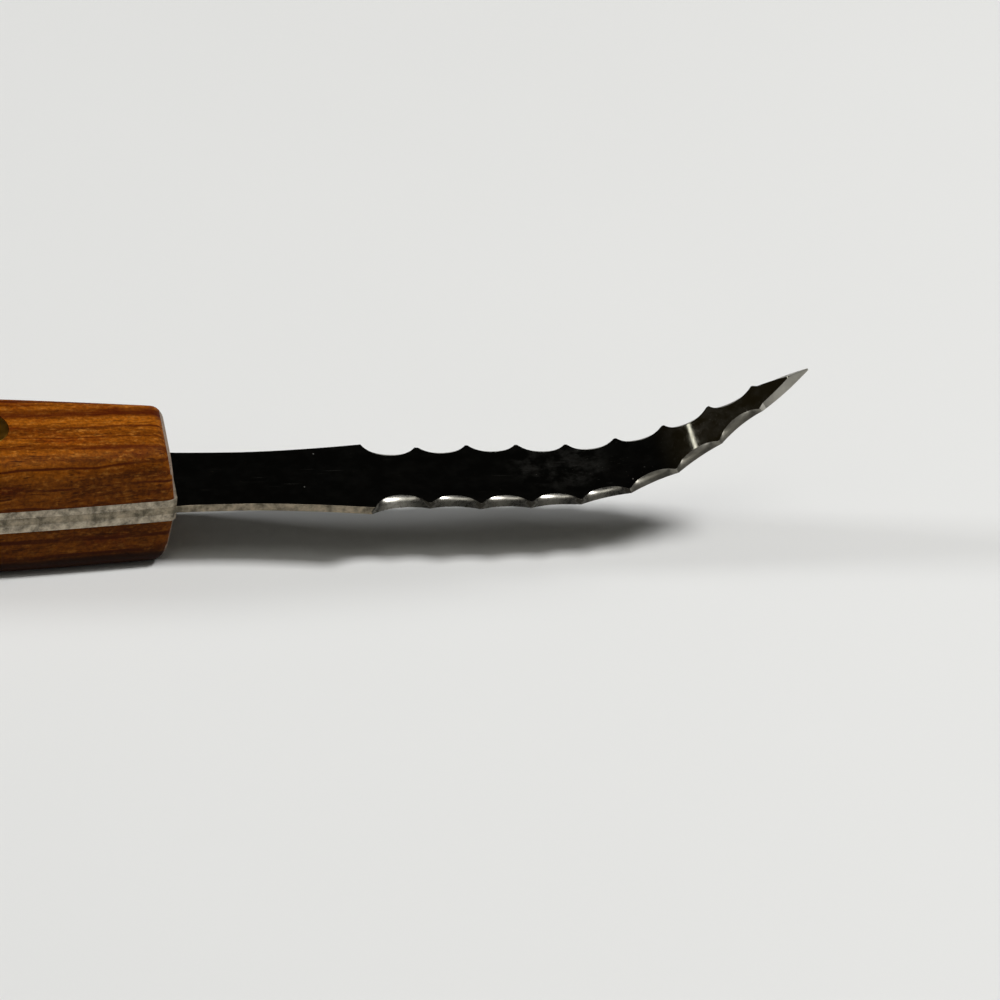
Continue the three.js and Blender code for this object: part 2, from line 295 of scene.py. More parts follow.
# Each light overhead: where it lies, where it starts, where it is full, and how bright it is
lights_overhead = [((0.3, -0.2, 0.93), 0.965, 0.985, 0.55), ((-0.06, -0.3, 0.95), 0.974, 0.987, 1.9)]
blue_share = 0.95
for axis, start, full, light in lights_overhead:
    light_colour = (light, light, light * blue_share, 1.0)
    lit_room = mix(room, share_towards(axis, start, full), lit_room, light_colour)
background = add_node(room, "Background", {"Color": lit_room})
add_node(room, "OutputWorld", {"Surface": background.outputs["Background"]})
print("room has a window and", len(lights_overhead), "lights overhead")

# %% [markdown]
# ## Wood
#
# The scales are reddish brown hardwood, sanded and oiled. Its grain runs along the handle:
# soft bands of growth, short broken fibres, open pores cut along, and a few dark streaks.
# So the patterns are noises that are stretched along X, laid over each other from the
# coarse to the fine. The sides, the lower scale and its foot are darkened with painted
# shade, and the front shows end grain, which is greyer and has the pores as dots.

# %% Wood: the patterns of the grain
def grain_patterns(tree, place):
    """The wandering coordinates, then bands, blotches, fibres, pores and mottling."""
    # the grain wanders by about half a millimetre
    wander = noise(tree, place, 0.11, 2.0, output="Color")
    bent = add_node(tree, "VectorMath", {0: wander, 1: (0.0, 1.4 * MM, 1.4 * MM), 2: place},
                    operation="MULTIPLY_ADD").outputs["Vector"]
    long_grain = stretch(tree, bent, (0.05, 1.0, 1.0))
    short_grain = stretch(tree, bent, (0.4, 1.0, 1.0))
    # bands of growth 1 to 3 mm wide
    bands = noise(tree, long_grain, 0.52, 4.0, 0.6)
    # blotches of tone a few millimetres across
    blotches = noise(tree, short_grain, 0.26, 4.0, 0.65)
    # broken fibres 0.5 mm wide, 1.2 mm long
    fibres = noise(tree, short_grain, 2.0, 5.0, 0.65)
    # pores: open vessels cut along, thin and dark
    pores = noise(tree, long_grain, 4.2, 1.0)
    # mottling of 0.4 mm, where the fibres stand up
    mottle = noise(tree, place, 2.3, 3.0, 0.6)
    return bent, bands, blotches, fibres, pores, mottle


# %% Wood: the colours of the grain
def grain_colour(tree, bands, blotches, fibres, pores, mottle):
    """Brown bands with redder blotches, pale and dark fibres, dark pores and mottling."""
    wood = mix(tree, soft_ramp(tree, bands, 0.36, 0.64), "#5c2b00", "#93500a")
    # each layer: its pattern, where it starts, where it is full, how much of it, its colour
    for pattern, start, full, most, colour in (
            (blotches, 0.5, 0.7, 0.75, "#662400"),
            (fibres, 0.5, 0.72, 0.8, "#ab6c28"),
            (fibres, 0.5, 0.28, 0.62, "#431b00"),
            (pores, 0.62, 0.72, 0.7, "#300f00")):
        wood = mix(tree, soft_ramp(tree, pattern, start, full, most=most), wood, colour)
    brightness = soft_ramp(tree, mottle, 0.36, 0.64, 0.78, 1.27)
    return mix(tree, 1.0, wood, brightness, blend_type="MULTIPLY")


# %% Wood: dark streaks
# Streaks of late growth: the axis across the grain, the place and the half width in mm.
# The wander of the grain shifts each by about 0.7 mm.
streaks = [("Y", 3.6, 1.3), ("Y", 6.4, 0.5), ("Y", 0.5, 0.35), ("Y", -3.7, 0.6), ("Y", -1.6, 0.2),
           ("Z", 16.7, 0.2), ("Z", 14.0, 0.25), ("Z", 11.2, 0.35), ("Z", 6.2, 0.5), ("Z", 3.8, 0.4)]
streak_core_share = 0.3


def add_streaks(tree, wood, axes, bands):
    """The wood with its streaks, which break off where the bands of growth are dark."""
    breaks = soft_ramp(tree, bands, 0.36, 0.6, most=0.85)
    for axis, middle, half_width in streaks:
        aside = calculate(tree, "ABSOLUTE", calculate(tree, "SUBTRACT", axes[axis], middle * MM))
        inside = soft_ramp(tree, aside, half_width * MM, half_width * streak_core_share * MM)
        wood = mix(tree, calculate(tree, "MULTIPLY", inside, breaks), wood, "#430f00")
    return wood


# %% Wood: painted shade
def add_painted_shade(tree, wood, axes):
    """Painted shade: the upright sides, the lower scale and its foot are darker than the flat faces."""
    normal = add_node(tree, "TexCoord").outputs["Normal"]
    # painted shade: upright faces, the lower half and the rounded foot are darkened towards a near-black
    # brown
    painted_side_shade = soft_ramp(tree, levelness(tree, normal), 0.99, 0.55, most=0.36)
    middle = handle_top / 2
    painted_lower_shade = ramp(tree, axes["Z"], middle + 0.1 * MM, middle - 0.1 * MM, most=0.3)
    painted_foot_shade = soft_ramp(tree, axes["Z"], 4.2 * MM, 2.9 * MM, most=0.94)
    for share in (painted_side_shade, painted_lower_shade, painted_foot_shade):
        wood = mix(tree, share, wood, "#160500")
    return wood


# %% Wood
def make_wood():
    """Reddish brown hardwood, sanded and oiled: satin, with fibres that can be felt."""
    material, tree, place = new_material("oiled_hardwood")
    bent, bands, blotches, fibres, pores, mottle = grain_patterns(tree, place)
    axes = add_node(tree, "SeparateXYZ", {"Vector": bent}).outputs
    wood = grain_colour(tree, bands, blotches, fibres, pores, mottle)
    wood = add_streaks(tree, wood, axes, bands)
    wood = add_painted_shade(tree, wood, axes)
    gloss = ramp(tree, fibres, 0, 1, 0.55, 0.75)
    relief = bump(tree, fibres, 0.4, 0.08)
    return finish_material(material, {"Base Color": wood, "Roughness": gloss, "IOR": 1.5,
                                      "Specular IOR Level": 0.06, "Normal": relief})


hardwood = make_wood()

# %% End grain
def make_end_grain():
    """The cut end of the same wood: pores as dots, greyish and dull."""
    material, tree, place = new_material("hardwood_end_grain")
    # the pores lie 0.3 mm apart
    pores = add_node(tree, "TexVoronoi", {"Vector": place, "Scale": 3.3 / MM}).outputs["Distance"]
    # rings of growth about 1.4 mm apart
    ground = mix(tree, noise(tree, place, 0.7, 3.0), "#6d5a49", "#93806e")
    wood = mix(tree, ramp(tree, pores, 0.35, 0.15), ground, "#2e1c10")
    return finish_material(material, {"Base Color": wood, "Roughness": 0.6, "IOR": 1.5,
                                      "Specular IOR Level": 0.4, "Normal": bump(tree, pores, 0.4, 0.06)})


end_grain = make_end_grain()

# %% [markdown]
# ## Metals
#
# The steel shows how each part of it was made. Its upper face was buffed to a mirror. The
# underside is painted dark, as painted shade that keeps the blade's shadow on the table dark.
# The facets are as the wheel left them, with painted shade on their steep ends, duller where
# the blade is bent, and the bevel of the tip was stoned. The edges of tang and liners were
# rubbed down together with the wood, and the brass rivets have gone dull. A buffed face needs
# few patterns, because the room is its pattern: what matters is what disturbs the mirror.

# %% Polished steel: dull places
# Where use has rubbed the mirror dull, before the bend and on the bent part:
# the middle and the half sizes in mm, counted from the handle's front, and how dull
dull_places = [((49.5, 1.5, 9.2), (8.0, 6.5, 6.0), 0.42), ((69.0, 1.0, 17.0), (10.0, 7.0, 9.0), 0.4)]
least_dull = 0.06


def make_haze(tree, place):
    """How dull the mirror is: clouds that are dense in the dull places."""
    cloud_share = soft_ramp(tree, noise(tree, place, 0.42, 5.0, 0.7), 0.4, 0.68)
    dull = least_dull
    for (reach, y, z), half_size, most in dull_places:
        inputs = {"Vector": place, "Location": (ahead(reach), y * MM, z * MM),
                  "Scale": [side * MM for side in half_size]}
        spot = add_node(tree, "Mapping", inputs, vector_type="TEXTURE").outputs["Vector"]
        fade = add_node(tree, "TexGradient", {"Vector": spot}, gradient_type="SPHERICAL").outputs["Fac"]
        dull = calculate(tree, "MAXIMUM", dull, soft_ramp(tree, fade, 0, 0.5, most=most))
    return calculate(tree, "MULTIPLY", dull, cloud_share)


# %% Polished steel
def make_polished_steel():
    """Stainless steel buffed to a mirror, then used: hair scratches, specks and dull places."""
    material, tree, place = new_material("polished_steel")
    haze = make_haze(tree, place)
    # hair scratches mostly along the blade, 0.2 mm apart
    hairs = noise(tree, stretch(tree, place, (0.03, 1.0, 1.0), rotation=(0, 0, 0.08)), 5.2, 2.0)
    scratch = ramp(tree, hairs, 0.7, 0.78, most=0.9)
    # specks 0.2 mm wide, a few millimetres apart
    dots = add_node(tree, "TexVoronoi", {"Vector": place, "Scale": 0.3 / MM}).outputs["Distance"]
    speck = ramp(tree, dots, 0.04, 0.025, most=4.0)
    marks = calculate(tree, "ADD", calculate(tree, "ADD", scratch, haze), speck)
    # marked steel sends back a little light from all sides, which a mirror does not
    metallic = ramp(tree, marks, 0, 1, 0.999, 0.955, clamp=False)
    gloss = ramp(tree, haze, 0, 1, 0.05, 0.16)
    # slow waves left by the buffing wheel, about 6 mm long
    waves = noise(tree, place, 0.15, 1.0)
    relief = bump(tree, waves, 0.3, 0.02, over=bump(tree, hairs, 0.25, 0.004))
    return finish_material(material, {"Base Color": linear("#c4c1b8"), "Metallic": metallic,
                                      "Roughness": gloss, "Normal": relief})


polished_steel = make_polished_steel()

# %% Ground steel
def make_ground_steel(name, dark, pale, smoothest, roughest, steep_shade=0.0):
    """Steel as a stone leaves it: fine lines across the blade, and painted shade that darkens its steep
    faces.
    """
    material, tree, place = new_material(name)
    # lines 0.15 mm apart and grit of 0.4 mm
    lines = noise(tree, stretch(tree, place, (1.0, 0.1, 0.1)), 6.5, 2.0)
    grit = noise(tree, place, 2.4, 3.0)
    # painted shade: the steep sides of the teeth are darkened to a dim brown, which dims the bright
    # table they mirror
    normal = add_node(tree, "NewGeometry").outputs["Normal"]
    steep_shade_share = ramp(tree, levelness(tree, normal), 0.55, 0.25, most=steep_shade)
    tone = mix(tree, steep_shade_share, mix(tree, grit, dark, pale), "#1e1b15")
    gloss = ramp(tree, grit, 0, 1, smoothest, roughest)
    return finish_material(material, {"Base Color": tone, "Metallic": 1.0, "Roughness": gloss,
                                      "Normal": bump(tree, lines, 0.12, 0.01)})


ground_steel = make_ground_steel("ground_steel", "#85827a", "#aaa79e", 0.22, 0.34, steep_shade=0.95)
stoned_steel = make_ground_steel("stoned_steel", "#9c9990", "#b8b5ac", 0.36, 0.52)
worn_steel = make_ground_steel("worn_ground_steel", "#6a675f", "#88857b", 0.32, 0.48)
# painted shade: the underside is made dark, so that it throws little light into the blade's shadow on
# the table
painted_dark_underside = make_ground_steel("painted_dark_underside", "#5f5d59", "#7b7974", 0.3, 0.45)

# %% Sanded metal
def make_sanded_metal(name, dark, pale):
    """Metal rubbed down with the wood: matt, grey, scratched along the handle, lightly pitted."""
    material, tree, place = new_material(name)
    # scratches 0.3 mm apart and worn spots of about 1 mm
    scratches = noise(tree, stretch(tree, place, (0.12, 1.0, 1.0)), 3.6, 3.0)
    wear = noise(tree, place, 0.9, 5.0, 0.65)
    tone = mix(tree, ramp(tree, wear, 0.36, 0.64), dark, pale)
    relief = bump(tree, wear, 0.45, 0.1, over=bump(tree, scratches, 0.35, 0.03))
    return finish_material(material, {"Base Color": tone, "Metallic": 1.0, "Roughness": 0.5,
                                      "Normal": relief})


sanded_aluminium = make_sanded_metal("sanded_aluminium", "#686154", "#beb29d")
sanded_steel = make_sanded_metal("sanded_steel", "#5b5548", "#a0947f")

# %% Brass
def make_brass():
    """Rivet brass gone dull: brown tarnish with fine rubbing marks along the handle."""
    material, tree, place = new_material("tarnished_brass")
    # stains of about 1.4 mm
    stain = noise(tree, place, 0.7, 4.0, 0.6)
    rubbing = noise(tree, stretch(tree, place, (0.1, 1.0, 1.0)), 3.8, 2.0)
    tone = mix(tree, stain, "#7a4f14", "#ab7d31")
    gloss = ramp(tree, stain, 0, 1, 0.28, 0.5)
    return finish_material(material, {"Base Color": tone, "Metallic": 1.0, "Roughness": gloss,
                                      "Normal": bump(tree, rubbing, 0.3, 0.02)})


tarnished_brass = make_brass()

# %% [markdown]
# ## Helpers for modelling
#
# Blender's operators work on what is selected, so every step says first what that is.
# Edges and points are picked by where they are, as one would point at them. A flat piece
# starts as a circle whose points are pulled onto its outline, like a string laid round
# pegs, and is then filled and extruded to its thickness.

# %% Helpers for picking
# Points closer than this are at the same place
near = 0.01 * MM


def take(piece):
    """Leave edit mode, let go of everything and take this piece alone."""
    if bpy.context.mode != "OBJECT":
        bpy.ops.object.mode_set(mode="OBJECT")
    bpy.ops.object.select_all(action="DESELECT")
    piece.select_set(True)
    bpy.context.view_layer.objects.active = piece


def edit(piece, everything=False):
    """Take the piece into edit mode with all or nothing of it selected."""
    take(piece)
    bpy.ops.object.mode_set(mode="EDIT")
    bpy.ops.mesh.select_mode(type="FACE")
    bpy.ops.mesh.select_all(action="SELECT" if everything else "DESELECT")


def pick_edges(piece, test):
    """Select the edges whose two ends pass the test."""
    edit(piece)
    bpy.ops.mesh.select_mode(type="EDGE")
    mesh = bmesh.from_edit_mesh(piece.data)
    for edge in mesh.edges:
        edge.select_set(test(edge.verts[0].co, edge.verts[1].co))
    bmesh.update_edit_mesh(piece.data)


def pick_points(piece, test):
    """Select the points whose place passes the test."""
    edit(piece)
    bpy.ops.mesh.select_mode(type="VERT")
    mesh = bmesh.from_edit_mesh(piece.data)
    for point in mesh.verts:
        point.select_set(test(point.co))
    bmesh.update_edit_mesh(piece.data)


# %% Helpers for shaping
drill_sides = 64
merge_distance = 0.0005 * MM
# How far a drill runs past what it cuts
overrun = 1 * MM


def plate(name, outline, bottom, thickness):
    """A plate with this outline, standing on the height bottom."""
    bpy.ops.object.select_all(action="DESELECT")
    bpy.ops.mesh.primitive_circle_add(vertices=len(outline), radius=MM, fill_type="NOTHING")
    piece = bpy.context.object
    piece.name = name
    for point, (x, y) in zip(piece.data.vertices, outline):
        point.co = (x, y, bottom)
    edit(piece, everything=True)
    bpy.ops.mesh.edge_face_add()
    bpy.ops.mesh.extrude_region_move(TRANSFORM_OT_translate={"value": (0, 0, thickness)})
    bpy.ops.mesh.select_all(action="SELECT")
    bpy.ops.mesh.normals_make_consistent(inside=False)
    take(piece)
    return piece


def cut(piece, cutter):
    """Take the cutter's shape out of the piece, as a drill or a stone does."""
    take(piece)
    difference = piece.modifiers.new("cut", "BOOLEAN")
    difference.operation = "DIFFERENCE"
    difference.solver = "EXACT"
    difference.object = cutter
    bpy.ops.object.modifier_apply(modifier=difference.name)
    bpy.data.objects.remove(cutter)


def drill(piece, x, diameter, low, high):
    """Drill a hole through the piece at x from one height to another."""
    bpy.ops.object.select_all(action="DESELECT")
    bpy.ops.mesh.primitive_cylinder_add(vertices=drill_sides, radius=diameter / 2, depth=high - low,
                                        location=(x, 0, (low + high) / 2))
    cut(piece, bpy.context.object)


def complete(piece, node, smooth=30):
    """Clean the mesh, shade it and let it stand for its solid."""
    edit(piece, everything=True)
    bpy.ops.mesh.remove_doubles(threshold=merge_distance)
    take(piece)
    bpy.ops.object.transform_apply(location=True, rotation=True, scale=True)
    bpy.ops.object.shade_smooth_by_angle(angle=radians(smooth))
    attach(piece, "root")
    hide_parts(node)
    size = [round(side / MM, 2) for side in piece.dimensions]
    print(piece.name, "is", size, "mm with", len(piece.data.polygons), "faces")


# %% [markdown]
# ## The handle's outline
#
# Tang, liners and scales were shaped as one block, so all five share one outline. It swells
# to a belly, narrows at the waist and ends in a round butt. The outline is a smooth line
# through a few widths, as a batten lies when it is bent round pins.

# %% The handle's outline
handle_length = 102 * MM
butt_width = 19.2
butt_corner_share = 0.76
# how far behind the front, and how wide there, in mm: front, shoulder, belly, waist, butt
# and the butt's corner
handle_widths = [(0, 12), (22.4, 16.4), (45, 18.6), (72, 17.6), (91, butt_width),
                 (98.7, butt_corner_share * butt_width)]
outline_steps = 10
corner_cut = 0.5 * MM


def smooth_line(pins, steps):
    """A smooth line that passes through every pin."""
    pins = [Vector(pin) for pin in pins]
    padded = [pins[0], *pins, pins[-1]]
    line = []
    for before, start, end, after in zip(padded, padded[1:], padded[2:], padded[3:]):
        leave = start + (end - before) / 6
        arrive = end - (after - start) / 6
        line += interpolate_bezier(start, leave, arrive, end, steps + 1)[:-1]
    return [*line, pins[-1]]


side_pins = [(ahead(-reach), width / 2 * MM) for reach, width in handle_widths]
all_pins = [*side_pins, (handle_front - handle_length, 0), *[(x, -y) for x, y in reversed(side_pins)]]
handle_line = [(point.x, point.y) for point in smooth_line(all_pins, outline_steps)]
plate_outline = [
    (handle_front, handle_line[0][1] - corner_cut),
    (handle_front - corner_cut, handle_line[0][1]),
    *handle_line[1:-1],
    (handle_front - corner_cut, handle_line[-1][1]),
    (handle_front, handle_line[-1][1] + corner_cut),
]
print("handle outline has", len(plate_outline), "points")

# %% [markdown]
# ## The blade
#
# Blade and tang are one strip of steel, stamped to its outline. Both edges carry eight
# scallops, ground in from the upper face with a round wheel that leans outwards, and the
# tip has a plain bevel on each side. The strip was ground flat and bent afterwards.
# The model is made in the same order, because then each step is simple: outline,
# thickness, wheel cuts, tip bevel, and the bend last.

# %% Sizes of the blade
blade_thickness = 1.0 * MM
tip_thickness = 0.6 * MM
blade_middle = handle_top / 2
blade_top = blade_middle + blade_thickness / 2
blade_bottom = blade_middle - blade_thickness / 2
# widths, and reaches from the handle's front, in millimetres
root_width, neck_width, shoulder_width = 11.6, 11.3, 13.8
first_tooth_width, toothed_width, end_width = 11.9, 12.6, 1.3
tip_width, tip_bulge = 0.4, 0.32
neck_reach, shoulder_reach, taper_reach, blade_length = 9, 24.5, 38.5, 84.3
flare_power, taper_power = 1.6, 2.2
scallop_count = 8
first_pitch, pitch = 7.4, 6.42
later_teeth = [shoulder_reach + first_pitch + pitch * n for n in range(scallop_count)]
tooth_reaches = [shoulder_reach, *later_teeth]
last_tooth = tooth_reaches[-1]
print("teeth at", [round(reach, 2) for reach in tooth_reaches], "mm")


# %% Widths of the flat strip
def tooth_half_width(tooth):
    """Half the blade's width over a tooth, in millimetres."""
    if tooth == 0:
        return shoulder_width / 2
    if tooth == 1:
        return first_tooth_width / 2
    tapered = max((tooth_reaches[tooth] - taper_reach) / (blade_length - taper_reach), 0)
    return (toothed_width - (toothed_width - end_width) * tapered ** taper_power) / 2


def plain_half_width(reach):
    """Half the width of the plain part, which narrows to a neck and flares to the first tooth."""
    if reach < neck_reach:
        return (neck_width + (root_width - neck_width) * (1 - reach / neck_reach) ** 2) / 2
    along = (reach - neck_reach) / (shoulder_reach - neck_reach)
    return (neck_width + (shoulder_width - neck_width) * along ** flare_power) / 2


def tip_half_width(reach):
    """Half the width ahead of the last tooth: slightly bulging sides to a point."""
    along = (reach - last_tooth) / (blade_length - last_tooth)
    straight = tooth_half_width(scallop_count) * (1 - along) + tip_width / 2 * along
    return straight + tip_bulge * sin(pi * along)


# %% Outline of the flat strip
plain_steps = 24
tip_steps = 12
plain_reaches = [shoulder_reach * n / plain_steps for n in range(plain_steps)]
tip_reaches = [last_tooth + (blade_length - last_tooth) * n / tip_steps for n in range(tip_steps + 1)]
blade_side = [
    *[(reach, plain_half_width(reach)) for reach in plain_reaches],
    *[(tooth_reaches[tooth], tooth_half_width(tooth)) for tooth in range(scallop_count)],
    *[(reach, tip_half_width(reach)) for reach in tip_reaches],
]
far_side = [(ahead(reach), half * MM) for reach, half in reversed(blade_side)]
near_side = [(x, -y) for x, y in reversed(far_side)]
strip_outline = [*far_side, *plate_outline[1:-1], *near_side]
strip = plate("stamped_blade", strip_outline, blade_bottom, blade_thickness)
print("strip outline has", len(strip_outline), "points")

# %% Thin the steel towards the tip
taper_slope = (blade_thickness - tip_thickness) / ((blade_length - taper_reach) * MM)
taper_start = (ahead(taper_reach), 0, blade_bottom)
edit(strip, everything=True)
bpy.ops.mesh.bisect(plane_co=taper_start, plane_no=(1, 0, 0))
bpy.ops.mesh.select_all(action="SELECT")
bpy.ops.mesh.bisect(plane_co=taper_start, plane_no=(taper_slope, 0, -1), use_fill=True, clear_outer=True)
take(strip)
print("the steel thins by", round(taper_slope, 4), "mm for each mm of its length")

# %% Break the sharp corners that the stamp left
def along_top(low, high):
    """A test for the outline's top edges between two distances from the handle."""
    def test(a, b):
        reach = ((a.x + b.x) / 2 - handle_front) / MM
        return low < reach < high and min(a.z, b.z) > blade_top - near
    return test


plain_break = 0.08 * MM
break_start = 0.3
pick_edges(strip, along_top(break_start, shoulder_reach))
bpy.ops.mesh.bevel(offset=plain_break, segments=2, affect="EDGES")
take(strip)
print("strip with broken corners has", len(strip.data.polygons), "faces")

# %% [markdown]
# ### The scallops
#
# A facet is wide in the middle of a scallop and runs out towards the teeth, because the
# wheel leans: at the blade's face it cuts a small round, at the lower edge a much flatter
# one. So the cutter is a stack of rings that grow and move outwards on their way down.
# Closely set rings at the top turn the facet's upper rim over a little, as buffing does,
# and that rim is what catches the lamp.

# %% A stack of rings
def stack(name, rings, points=64):
    """A closed round piece through rings, each a centre in plan, a radius and a height."""
    (x, y), radius, height = rings[0]
    bpy.ops.object.select_all(action="DESELECT")
    bpy.ops.mesh.primitive_circle_add(vertices=points, radius=radius, fill_type="NGON",
                                      location=(x, y, height))
    piece = bpy.context.object
    piece.name = name
    take(piece)
    bpy.ops.object.transform_apply(location=True, rotation=True, scale=True)
    edit(piece, everything=True)
    for (new_x, new_y), new_radius, new_height in rings[1:]:
        bpy.ops.mesh.extrude_region_move(
            TRANSFORM_OT_translate={"value": (new_x - x, new_y - y, new_height - height)})
        ratio = new_radius / radius
        bpy.ops.transform.resize(value=(ratio, ratio, 1), center_override=(new_x, new_y, new_height))
        (x, y), radius, height = (new_x, new_y), new_radius, new_height
    bpy.ops.mesh.select_all(action="SELECT")
    bpy.ops.mesh.fill_holes(sides=0)
    bpy.ops.mesh.select_all(action="SELECT")
    bpy.ops.mesh.normals_make_consistent(inside=False)
    take(piece)
    return piece


# %% The wheel
# In millimetres: the wheel's radius at the blade's face and at its lower edge, and how far
# past the teeth it is pressed in. Below zero it stays short of them. The first scallop is
# longer than the others, so its lower radius is its own.
rim_radius, rim_inset = 4.6, -0.18
first_edge_radius, edge_radius, edge_inset = 9.2, 10.5, 0.02
# The turned rim: depth below the face, and how far it lies inside the facet's own line.
# The rings' radius is less by fade times that distance, so the rim fades towards the teeth.
turned_rim = [(-0.1, 0.7), (0.0, 0.4), (0.05, 0.28), (0.12, 0.17),
              (0.22, 0.08), (0.34, 0.02), (0.46, 0.0)]
fade = 2.0
# the wheel reaches this far below the steel
depth_below = 0.3
wheel_sides = 192


def thickness_at(reach):
    """The steel's thickness in millimetres."""
    return (blade_thickness - max(reach - taper_reach, 0) * MM * taper_slope) / MM


def press_wheel(tooth, side):
    """The leaning wheel, pressed against the edge between two teeth."""
    start = Vector((tooth_reaches[tooth], tooth_half_width(tooth)))
    end = Vector((tooth_reaches[tooth + 1], tooth_half_width(tooth + 1)))
    chord = end - start
    middle = (start + end) / 2
    outward = Vector((-chord.y, chord.x)).normalized()
    thickness = thickness_at(middle.x)
    lower_radius = edge_radius if tooth else first_edge_radius
    rim_offset = sqrt(rim_radius ** 2 - (chord.length / 2) ** 2) - rim_inset
    edge_offset = sqrt(lower_radius ** 2 - (chord.length / 2) ** 2) - edge_inset
    rings = []
    for depth, extra in [*turned_rim, (thickness + depth_below, 0.0)]:
        share = depth / thickness
        offset = rim_offset + share * (edge_offset - rim_offset) - (1 + fade) * extra
        centre = middle + outward * offset
        radius = rim_radius + share * (lower_radius - rim_radius) - fade * extra
        place = (ahead(centre.x), side * centre.y * MM)
        rings.append((place, radius * MM, blade_top - depth * MM))
    return stack("wheel", rings, points=wheel_sides)


# %% Grind the scallops
for tooth in range(scallop_count):
    for side in (1, -1):
        cut(strip, press_wheel(tooth, side))
print("ground strip has", len(strip.data.polygons), "faces")

# %% Drill the tang
rivet_reaches = (24.7, 51.5, 78.3)
rivet_places = [ahead(-reach) for reach in rivet_reaches]
tube_diameter = 4.0 * MM
hole_clearance = 0.2 * MM
hole_diameter = tube_diameter + hole_clearance
for x in rivet_places:
    drill(strip, x, hole_diameter, blade_bottom - overrun, blade_top + overrun)
print("tang has", len(rivet_places), "holes of", round(hole_diameter / MM, 2), "mm")

# %% Slice the strip across, so that it can bend and the tip can be ground
bend_reach, bend_radius, bend_angle = 48.5, 31.6, radians(38.2)
slice_width = 0.25
bend_length = bend_radius * bend_angle
slices = [bend_reach + n * slice_width for n in range(int(bend_length / slice_width) + 1)]
slices += [bend_reach + bend_length, *tip_reaches[:-1]]
edit(strip, everything=True)
for reach in slices:
    bpy.ops.mesh.select_all(action="SELECT")
    bpy.ops.mesh.bisect(plane_co=(ahead(reach), 0, 0), plane_no=(1, 0, 0))
take(strip)
print("sliced strip has", len(strip.data.polygons), "faces")

# %% Grind the tip: the top corners of each slice move in to the bevel's upper edge
# In millimetres: half the width that stays flat, the steel left at the cutting edge, and
# how wide the bevel is at the last tooth and how much it grows in each millimetre
ridge_half = 0.04
edge_left = 0.07
first_run, run_growth = 0.42, 0.15
for reach in tip_reaches[1:]:
    outer = tip_half_width(reach)
    run = first_run + run_growth * (reach - last_tooth)
    inner = max(outer - run, ridge_half)
    slope = (thickness_at(reach) - edge_left) / run
    drop = max(ridge_half - (outer - run), 0) * slope
    x = ahead(reach)
    pick_points(strip, lambda place: abs(place.x - x) < near and place.z > blade_middle)
    bpy.ops.transform.resize(value=(1, inner / outer, 1), center_override=(x, 0, blade_top))
    bpy.ops.transform.translate(value=(0, 0, -drop * MM))
take(strip)
print("bevel's run is", first_run, "mm at the last tooth and", round(run, 2), "mm at the tip")

# %% Give each face its finish
flat_enough = 0.99
worn_reach = tooth_reaches[5]
finishes = [polished_steel, ground_steel, sanded_steel, stoned_steel, painted_dark_underside, worn_steel]


def finish_of(face):
    """The finish of a face, by which way it looks and how far along the blade it is."""
    reach = (face.center.x - handle_front) / MM
    if abs(face.normal.z) > flat_enough:
        # the underside gets the steel that is painted dark as shade
        return polished_steel if face.normal.z > 0 else painted_dark_underside
    if reach < shoulder_reach:
        return sanded_steel
    if reach > last_tooth:
        return stoned_steel
    return worn_steel if reach > worn_reach else ground_steel


for finish in finishes:
    strip.data.materials.append(finish)
for face in strip.data.polygons:
    face.material_index = finishes.index(finish_of(face))
print("the strip has", len(finishes), "finishes")

# %% Bend the blade
bpy.ops.object.empty_add(location=(ahead(bend_reach), 0, blade_middle), rotation=(pi / 2, 0, 0))
bending_post = bpy.context.object
take(strip)
bend = strip.modifiers.new("bend", "SIMPLE_DEFORM")
bend.deform_method = "BEND"
bend.deform_axis = "Z"
bend.origin = bending_post
bend.angle = bend_angle
whole = handle_length + blade_length * MM
bend.limits = ((handle_length + bend_reach * MM) / whole,
               (handle_length + (bend_reach + bend_length) * MM) / whole)
bpy.ops.object.modifier_apply(modifier=bend.name)
bpy.data.objects.remove(bending_post)
complete(strip, "blade", smooth=15)

# %% [markdown]
# ## The liners
#
# A thin metal plate lies on each side of the tang. Plates and tang show as the light grey
# band along the handle. Their edges are broken a little, so that a fine line shows between
# the layers.

# %% Liners
liner_thickness = 1.1 * MM
liner_break = 0.05 * MM
around_hole = 3 * MM


def on_outline(a, b):
    """Whether an edge with these ends runs along the outline, away from the holes."""
    gaps = [(point.x - x) ** 2 + point.y ** 2 for point in (a, b) for x in rivet_places]
    return abs(a.z - b.z) < near and min(gaps) > around_hole ** 2


def make_liner(name, bottom, node):
    """A drilled plate with the edges of its outline broken."""
    liner = plate(name, plate_outline, bottom, liner_thickness)
    for x in rivet_places:
        drill(liner, x, hole_diameter, bottom - overrun, bottom + liner_thickness + overrun)
    pick_edges(liner, on_outline)
    bpy.ops.mesh.bevel(offset=liner_break, segments=2, affect="EDGES")
    liner.data.materials.append(sanded_aluminium)
    complete(liner, node)


make_liner("upper_liner_plate", blade_top, "upper_liner")
make_liner("lower_liner_plate", blade_bottom - liner_thickness, "lower_liner")

# %% [markdown]
# ## The scales
#
# The two wooden halves of the handle are called scales. Their long edges are rounded over
# and their front leans back and is rounded too, as a belt sander leaves them. The front's
# upright corners are only broken, and the rounding grows over the top, so each edge gets
# its own weight in the bevel. The rivets' heads sit in round seats.

# %% Sizes of the scales
scale_thickness = blade_bottom - liner_thickness
long_edge_radius = 2.8 * MM
front_setback = 0.3 * MM
front_slope = 0.9 * MM
front_radius = 1.9 * MM
# what lies ahead of this belongs to the front
front_end = handle_front - front_setback - front_slope - 0.1 * MM
# the bevel's weight at the upright corners, and the share of the height where it starts to grow
corner_weight = 0.3
growth_share = 0.6
head_diameter = 7.9 * MM
head_thickness = 1.9 * MM
seat_clearance = 0.08 * MM
run_on = 6 * MM
end_grain_facing = 0.68
print("a scale is", round(scale_thickness / MM, 2), "mm thick")


